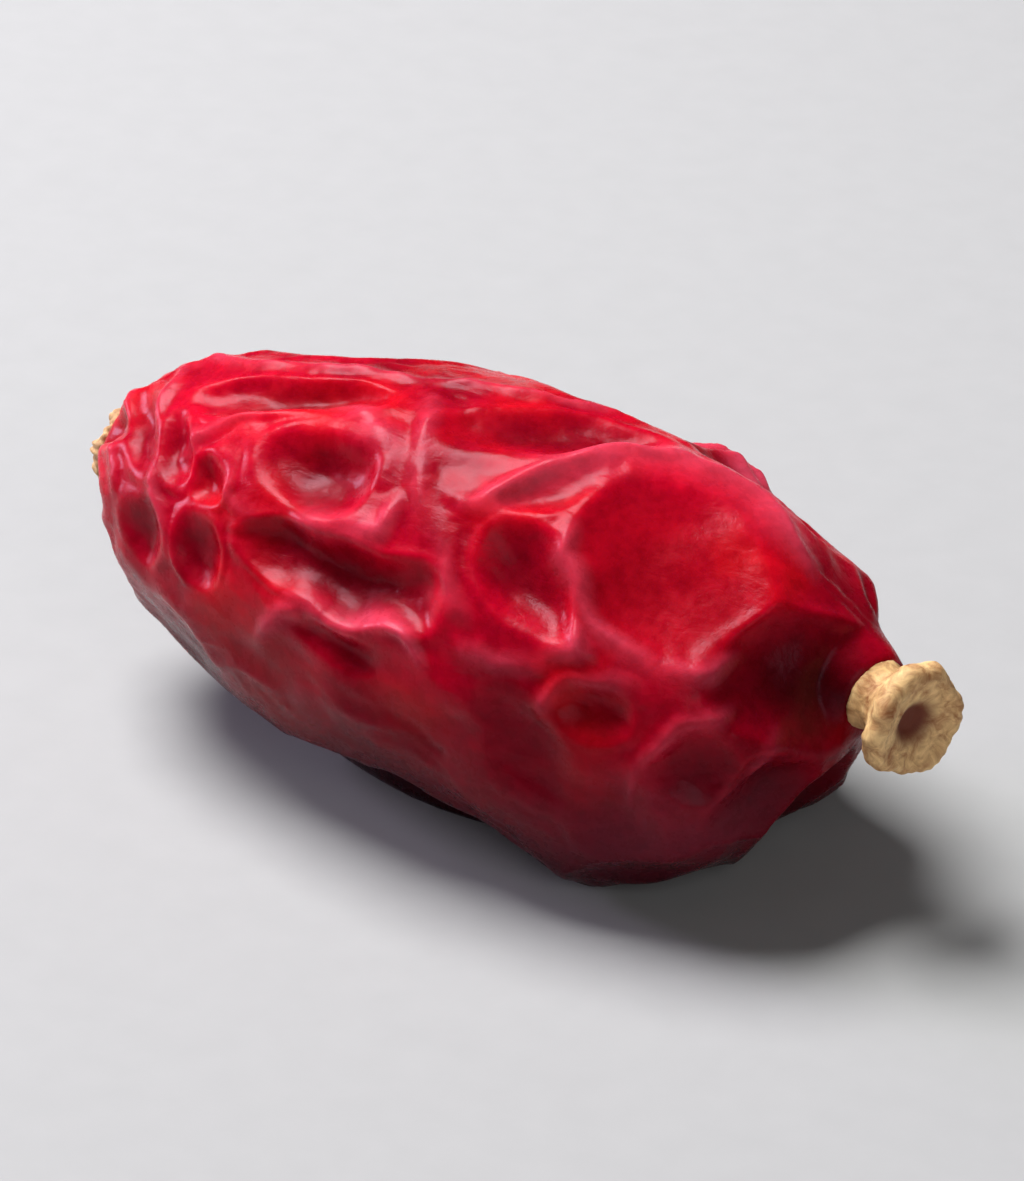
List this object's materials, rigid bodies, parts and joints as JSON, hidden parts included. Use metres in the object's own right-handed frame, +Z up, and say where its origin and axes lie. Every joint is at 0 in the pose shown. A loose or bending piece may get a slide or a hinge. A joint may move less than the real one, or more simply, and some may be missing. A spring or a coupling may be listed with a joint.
{
  "type": "dried barberry",
  "caption": "Dried barberry: a small long berry of wrinkled, leathery red skin with a woody stigma button on its tip and a torn stalk collar at its other end.",
  "frame": {"origin": "on the surface that the berry lies on, under the middle of its box", "axes": "+X along the berry towards the stigma, +Z up, so the side that the picture shows faces -Y"},
  "size_m": [0.0106, 0.0048, 0.0045],
  "materials": {
    "berry_skin": "satin, wrinkled",
    "stigma_wood": "dry, matte",
    "stalk_collar": "dry, torn, matte"
  },
  "bodies": {
    "root": {"berry": "berry_skin", "stigma": "stigma_wood", "stalk_scar": "stalk_collar"}
  },
  "joints": []
}
